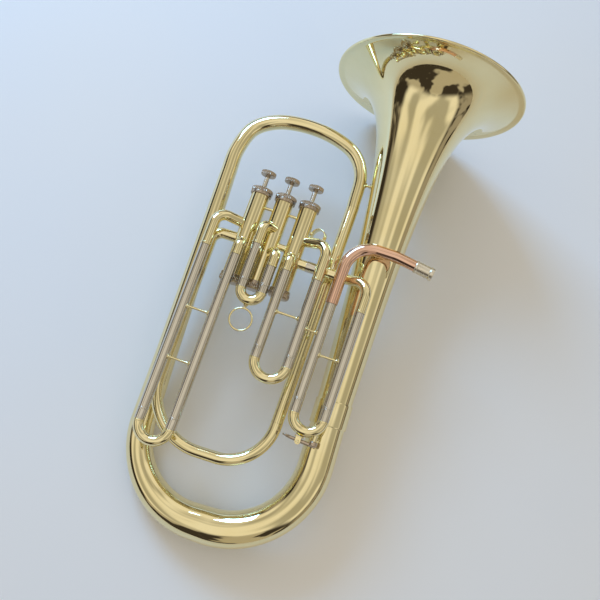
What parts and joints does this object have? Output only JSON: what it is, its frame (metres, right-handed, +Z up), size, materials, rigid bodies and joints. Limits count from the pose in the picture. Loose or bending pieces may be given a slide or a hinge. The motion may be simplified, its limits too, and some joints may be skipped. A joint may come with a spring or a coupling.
{
  "type": "euphonium",
  "caption": "Lacquered brass euphonium with upright bell, piston valves, valve slides, main tuning slide, water key and mouthpiece receiver, lying on its back.",
  "frame": {"origin": "middle of the bounding box's bottom face, on the plane the instrument lies on", "axes": "+Y along the instrument towards the bell's rim, +Z up and out of the front where the slides are, +X across from the valves to the bell; the bell end is raised 7.12 degrees by its rim and the valve side drops 10.65 degrees"},
  "size_m": [0.342, 0.6298, 0.2429],
  "materials": {
    "lacquered_brass": "polished, clear lacquer",
    "nickel_silver": "polished nickel silver",
    "rose_brass": "polished, clear lacquer",
    "satin_nickel": "satin nickel plate"
  },
  "bodies": {
    "body": {"bell": "lacquered_brass", "bell_ferrule": "lacquered_brass", "bottom_bow": "lacquered_brass", "left_branch": "lacquered_brass", "top_bow": "lacquered_brass", "descending_branch": "lacquered_brass", "small_bow": "lacquered_brass", "valve_casing_1": "lacquered_brass", "top_cap_1": "satin_nickel", "bottom_cap_1": "satin_nickel", "valve_casing_2": "lacquered_brass", "top_cap_2": "satin_nickel", "bottom_cap_2": "satin_nickel", "valve_casing_3": "lacquered_brass", "top_cap_3": "satin_nickel", "bottom_cap_3": "satin_nickel", "tie_rod_12": "lacquered_brass", "tie_rod_23": "lacquered_brass", "port_tube_12": "lacquered_brass", "port_tube_23": "lacquered_brass", "slide1_knuckle_left": "lacquered_brass", "slide1_knuckle_right": "lacquered_brass", "slide1_sleeve_left": "nickel_silver", "slide1_sleeve_right": "nickel_silver", "slide1_brace_upper": "lacquered_brass", "slide1_brace_lower": "lacquered_brass", "slide2_knuckle_left": "lacquered_brass", "slide2_knuckle_right": "lacquered_brass", "slide2_sleeve_left": "nickel_silver", "slide2_sleeve_right": "nickel_silver", "slide3_knuckle_left": "lacquered_brass", "slide3_knuckle_right": "lacquered_brass", "slide3_sleeve_left": "nickel_silver", "slide3_sleeve_right": "nickel_silver", "slide3_brace": "lacquered_brass", "cross_tube": "lacquered_brass", "leadpipe": "rose_brass", "mouthpiece_receiver": "satin_nickel", "main_sleeve_left": "nickel_silver", "main_sleeve_right": "nickel_silver", "main_brace": "lacquered_brass", "sleeve_stay": "lacquered_brass", "bell_stay": "lacquered_brass", "thumb_ring": "lacquered_brass"},
    "valve_1": {"piston_1": "nickel_silver", "finger_button_1": "satin_nickel"},
    "valve_2": {"piston_2": "nickel_silver", "finger_button_2": "satin_nickel"},
    "valve_3": {"piston_3": "nickel_silver", "finger_button_3": "satin_nickel"},
    "first_slide": {"slide1_crook": "lacquered_brass"},
    "second_slide": {"slide2_crook": "lacquered_brass", "finger_ring": "lacquered_brass"},
    "third_slide": {"slide3_crook": "lacquered_brass"},
    "tuning_slide": {"main_crook": "lacquered_brass", "water_key_saddle": "lacquered_brass"},
    "water_key": {"water_key": "satin_nickel"}
  },
  "joints": [
    {"name": "valve_1_press", "type": "slide", "parent": "body", "child": "valve_1", "axis": [-0.0114, -0.9917, -0.1282], "range_m": [0, 0.016], "stiffness_N_per_m": 110, "springref_m": -0.018},
    {"name": "valve_2_press", "type": "slide", "parent": "body", "child": "valve_2", "axis": [-0.0114, -0.9917, -0.1282], "range_m": [0, 0.016], "stiffness_N_per_m": 110, "springref_m": -0.018},
    {"name": "valve_3_press", "type": "slide", "parent": "body", "child": "valve_3", "axis": [-0.0114, -0.9917, -0.1282], "range_m": [0, 0.016], "stiffness_N_per_m": 110, "springref_m": -0.018},
    {"name": "first_slide_pull", "type": "slide", "parent": "body", "child": "first_slide", "axis": [-0.0114, -0.9917, -0.1282], "range_m": [0, 0.1]},
    {"name": "second_slide_pull", "type": "slide", "parent": "body", "child": "second_slide", "axis": [-0.0114, -0.9917, -0.1282], "range_m": [0, 0.014]},
    {"name": "third_slide_pull", "type": "slide", "parent": "body", "child": "third_slide", "axis": [-0.0114, -0.9917, -0.1282], "range_m": [0, 0.06]},
    {"name": "tuning_slide_pull", "type": "slide", "parent": "body", "child": "tuning_slide", "axis": [-0.0114, -0.9917, -0.1282], "range_m": [0, 0.07]},
    {"name": "water_key_pivot", "type": "hinge", "parent": "tuning_slide", "child": "water_key", "pos_m": [0.02206, -0.17564, 0.09828], "axis": [0.1834, 0.1239, -0.9752], "range_deg": [0, 12], "stiffness_Nm_per_rad": 0.03, "springref_deg": -20.05}
  ]
}
